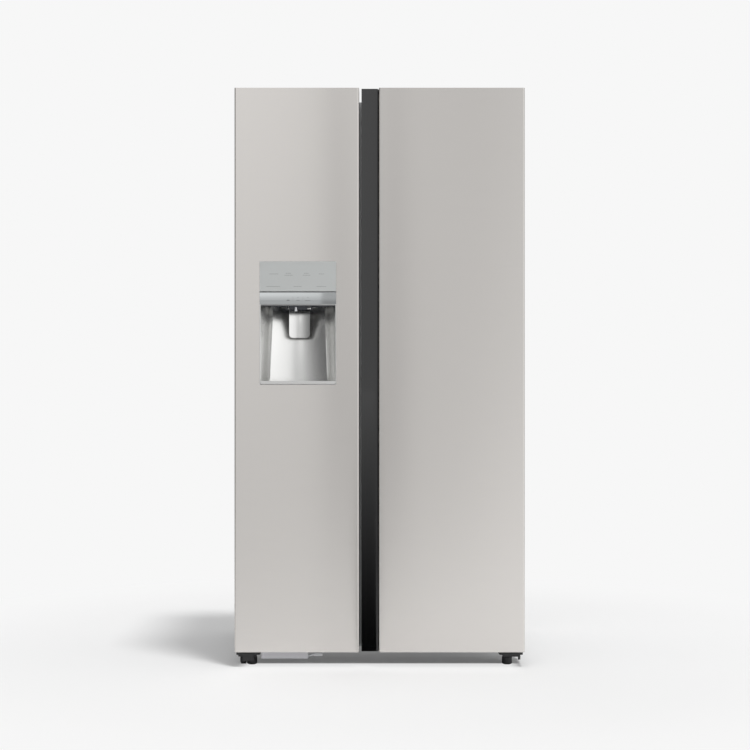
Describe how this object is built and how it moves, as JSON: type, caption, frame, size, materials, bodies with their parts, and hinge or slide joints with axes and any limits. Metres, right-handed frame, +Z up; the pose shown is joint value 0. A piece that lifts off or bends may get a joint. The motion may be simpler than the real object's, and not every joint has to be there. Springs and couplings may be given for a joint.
{
  "type": "side by side refrigerator",
  "caption": "Steel side by side refrigerator, closed, with an ice and water dispenser in its narrow left door and a dark finger channel between the doors.",
  "frame": {"origin": "on the floor, under the middle of the whole body", "axes": "+Z up, doors facing -Y, +X to the viewer's right"},
  "size_m": [0.895, 0.745, 1.786],
  "materials": {
    "door_steel": "brushed",
    "shell_paint": "textured",
    "rear_steel": "satin",
    "rear_black": "satin",
    "foam": "matte",
    "white_liner": "gloss",
    "clear_plastic": "clear",
    "grey_plastic": "satin",
    "black_gloss": "gloss",
    "dark_plastic": "matte",
    "smoke_plastic": "translucent",
    "panel_silver": "satin",
    "niche_metal": "polished",
    "hinge_steel": "satin",
    "bright_steel": "satin",
    "seal_rubber": "matte",
    "roller_plastic": "matte",
    "shelf_glass": "clear",
    "coil_aluminium": "satin",
    "coil_steel": "satin",
    "compressor_black": "gloss"
  },
  "bodies": {
    "cabinet": {"outer_shell": "shell_paint", "freezer_liner": "white_liner", "fridge_liner": "white_liner", "insulation": "foam", "back_panel": "rear_steel", "rear_cover": "rear_black", "base_pan": "rear_steel", "left_bottom_hinge": "hinge_steel", "right_bottom_hinge": "hinge_steel", "left_top_hinge": "bright_steel", "left_hinge_cover": "dark_plastic", "right_top_hinge": "bright_steel", "right_hinge_cover": "dark_plastic", "water_line_cover": "rear_steel", "water_line": "grey_plastic", "compressor": "compressor_black", "condenser": "coil_steel", "evaporator": "coil_aluminium", "evaporator_cover": "white_liner", "air_duct": "white_liner", "freezer_shelf_1": "shelf_glass", "freezer_shelf_2": "shelf_glass", "crisper_cover": "shelf_glass", "fridge_shelf_1": "shelf_glass", "fridge_shelf_2": "shelf_glass", "fridge_shelf_3": "shelf_glass", "ice_maker": "grey_plastic", "ice_bin": "clear_plastic"},
    "left_rear_roller": {"left_rear_roller": "roller_plastic"},
    "left_front_roller": {"left_front_roller": "roller_plastic"},
    "left_foot": {"left_foot": "roller_plastic"},
    "right_rear_roller": {"right_rear_roller": "roller_plastic"},
    "right_front_roller": {"right_front_roller": "roller_plastic"},
    "right_foot": {"right_foot": "roller_plastic"},
    "condenser_fan": {"condenser_fan": "dark_plastic"},
    "evaporator_fan": {"evaporator_fan": "grey_plastic"},
    "lower_freezer_drawer": {"lower_freezer_drawer": "clear_plastic"},
    "upper_freezer_drawer": {"upper_freezer_drawer": "clear_plastic"},
    "lower_crisper": {"lower_crisper": "clear_plastic"},
    "upper_crisper": {"upper_crisper": "clear_plastic"},
    "freezer_door": {"freezer_door_skin": "door_steel", "freezer_door_frame": "grey_plastic", "freezer_door_liner": "white_liner", "freezer_door_gasket": "seal_rubber", "dispenser_niche": "niche_metal", "control_panel": "panel_silver", "dispenser_bar": "niche_metal", "nozzle_housing": "smoke_plastic", "drip_tray": "niche_metal", "ice_chute": "grey_plastic", "freezer_door_bin_1": "clear_plastic", "freezer_door_bin_2": "clear_plastic"},
    "fridge_door": {"fridge_door_skin": "door_steel", "fridge_door_frame": "black_gloss", "fridge_door_liner": "white_liner", "fridge_door_gasket": "seal_rubber", "fridge_door_bin_1": "clear_plastic", "fridge_door_bin_2": "clear_plastic", "fridge_door_bin_3": "clear_plastic"},
    "dispenser_paddle": {"dispenser_paddle": "niche_metal"}
  },
  "joints": [
    {"name": "freezer_door_swing", "type": "hinge", "parent": "cabinet", "child": "freezer_door", "pos_m": [-0.423, -0.3288, 0.9], "axis": [0, 0, -1], "range_deg": [0, 120]},
    {"name": "fridge_door_swing", "type": "hinge", "parent": "cabinet", "child": "fridge_door", "pos_m": [0.423, -0.3288, 0.9], "axis": [0, 0, 1], "range_deg": [0, 120]},
    {"name": "lower_freezer_drawer_slide", "type": "slide", "parent": "cabinet", "child": "lower_freezer_drawer", "axis": [0, -1, 0], "range_m": [0, 0.2]},
    {"name": "upper_freezer_drawer_slide", "type": "slide", "parent": "cabinet", "child": "upper_freezer_drawer", "axis": [0, -1, 0], "range_m": [0, 0.2]},
    {"name": "lower_crisper_slide", "type": "slide", "parent": "cabinet", "child": "lower_crisper", "axis": [0, -1, 0], "range_m": [0, 0.2]},
    {"name": "upper_crisper_slide", "type": "slide", "parent": "cabinet", "child": "upper_crisper", "axis": [0, -1, 0], "range_m": [0, 0.2]},
    {"name": "paddle_push", "type": "hinge", "parent": "freezer_door", "child": "dispenser_paddle", "pos_m": [-0.2495, -0.3123, 1.1083], "axis": [1, 0, 0], "range_deg": [0, 10], "stiffness_Nm_per_rad": 0.4, "springref_deg": -8.59},
    {"name": "left_foot_turn", "type": "hinge", "parent": "cabinet", "child": "left_foot", "pos_m": [-0.3975, -0.3073, 0], "axis": [0, 0, 1], "continuous": true},
    {"name": "right_foot_turn", "type": "hinge", "parent": "cabinet", "child": "right_foot", "pos_m": [0.3975, -0.3073, 0], "axis": [0, 0, 1], "continuous": true},
    {"name": "left_front_roller_spin", "type": "hinge", "parent": "cabinet", "child": "left_front_roller", "pos_m": [-0.4245, -0.3073, 0.0125], "axis": [1, 0, 0], "continuous": true},
    {"name": "right_front_roller_spin", "type": "hinge", "parent": "cabinet", "child": "right_front_roller", "pos_m": [0.3975, -0.2663, 0.0125], "axis": [1, 0, 0], "continuous": true},
    {"name": "left_rear_roller_spin", "type": "hinge", "parent": "cabinet", "child": "left_rear_roller", "pos_m": [-0.4005, 0.3, 0.02], "axis": [1, 0, 0], "continuous": true},
    {"name": "right_rear_roller_spin", "type": "hinge", "parent": "cabinet", "child": "right_rear_roller", "pos_m": [0.4005, 0.3, 0.02], "axis": [1, 0, 0], "continuous": true},
    {"name": "condenser_fan_spin", "type": "hinge", "parent": "cabinet", "child": "condenser_fan", "pos_m": [-0.0204, 0.2544, 0.126], "axis": [1, 0, 0], "continuous": true},
    {"name": "evaporator_fan_spin", "type": "hinge", "parent": "cabinet", "child": "evaporator_fan", "pos_m": [-0.2419, 0.2629, 1.165], "axis": [0, 1, 0], "continuous": true}
  ],
  "couplings": [
    {"joint": "lower_freezer_drawer_slide", "follows": "freezer_door_swing", "m_per_rad": 0.0954},
    {"joint": "upper_freezer_drawer_slide", "follows": "freezer_door_swing", "m_per_rad": 0.0954},
    {"joint": "lower_crisper_slide", "follows": "fridge_door_swing", "m_per_rad": 0.0954},
    {"joint": "upper_crisper_slide", "follows": "fridge_door_swing", "m_per_rad": 0.0954}
  ]
}
